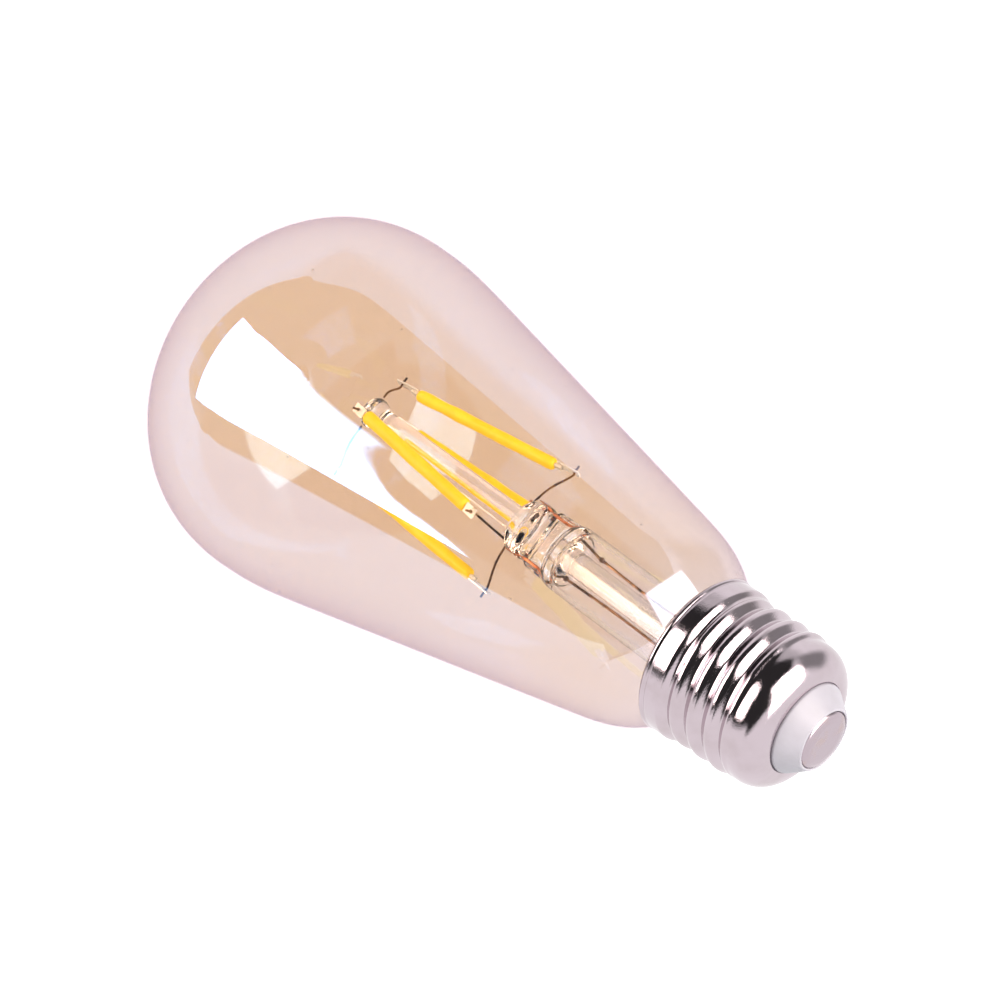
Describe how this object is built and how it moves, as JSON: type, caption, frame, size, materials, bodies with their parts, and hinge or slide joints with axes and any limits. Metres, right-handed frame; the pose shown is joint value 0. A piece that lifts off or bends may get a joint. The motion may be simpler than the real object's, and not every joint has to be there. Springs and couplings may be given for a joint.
{
  "type": "smart light bulb",
  "caption": "Smart LED filament lamp with an amber teardrop glass bulb, a clear glass stem with upright filament strips and a nickel E27 screw cap.",
  "frame": {"origin": "centre of the flat outer face of the centre contact", "axes": "+Z along the lamp's axis, out of the cap towards the lampholder, so the glass hangs down -Z; X and Y across it, with -Y the side of the front filament"},
  "size_m": [0.064, 0.064, 0.137],
  "materials": {
    "amber_glass": "clear with a thin amber coating",
    "clear_glass": "clear, flame worked",
    "nickel_plate": "bright nickel plating, faint orange peel",
    "contact_metal": "satin",
    "white_plastic": "smooth moulded, slight sheen",
    "cement": "rough",
    "phosphor": "matt silicone with phosphor",
    "ceramic_strip": "matt",
    "tab_metal": "bright tinned",
    "support_wire": "oxidised",
    "copper_lead": "copper clad, slightly oxidised",
    "board_laminate": "solder mask",
    "black_epoxy": "moulded",
    "shield_can": "tinned",
    "capacitor_sleeve": "shrink sleeve",
    "ferrite": "matt",
    "resistor_body": "lacquered",
    "live_insulation": "soft",
    "neutral_insulation": "soft",
    "film_sleeve": "thin film"
  },
  "bodies": {
    "root": {"antenna": "copper_lead", "back_bottom_tab": "tab_metal", "back_filament_phosphor": "phosphor", "back_filament_strip": "ceramic_strip", "back_lower_wire": "support_wire", "back_top_tab": "tab_metal", "back_upper_wire": "support_wire", "basing_cement": "cement", "bridge_rectifier": "black_epoxy", "centre_contact": "contact_metal", "driver_board": "board_laminate", "driver_ic": "black_epoxy", "driver_sleeve": "film_sleeve", "exhaust_tube": "clear_glass", "front_bottom_tab": "tab_metal", "front_filament_phosphor": "phosphor", "front_filament_strip": "ceramic_strip", "front_lower_wire": "support_wire", "front_top_tab": "tab_metal", "front_upper_wire": "support_wire", "fusible_resistor": "resistor_body", "glass_envelope": "amber_glass", "inductor": "ferrite", "input_capacitor": "capacitor_sleeve", "insulator": "white_plastic", "left_bottom_tab": "tab_metal", "left_filament_phosphor": "phosphor", "left_filament_strip": "ceramic_strip", "left_inner_lead": "support_wire", "left_lower_wire": "support_wire", "left_outer_lead": "copper_lead", "left_output_terminal": "tab_metal", "left_sealed_lead": "copper_lead", "left_top_tab": "tab_metal", "left_upper_wire": "support_wire", "left_weld_knot": "support_wire", "live_wire": "live_insulation", "neutral_wire": "neutral_insulation", "right_bottom_tab": "tab_metal", "right_filament_phosphor": "phosphor", "right_filament_strip": "ceramic_strip", "right_inner_lead": "support_wire", "right_lower_wire": "support_wire", "right_outer_lead": "copper_lead", "right_output_terminal": "tab_metal", "right_sealed_lead": "copper_lead", "right_top_tab": "tab_metal", "right_upper_wire": "support_wire", "right_weld_knot": "support_wire", "rod_button": "clear_glass", "screw_shell": "nickel_plate", "stem_collar": "clear_glass", "stem_flare_tube": "clear_glass", "stem_press": "clear_glass", "stem_rod": "clear_glass", "wireless_module": "shield_can"}
  },
  "joints": []
}
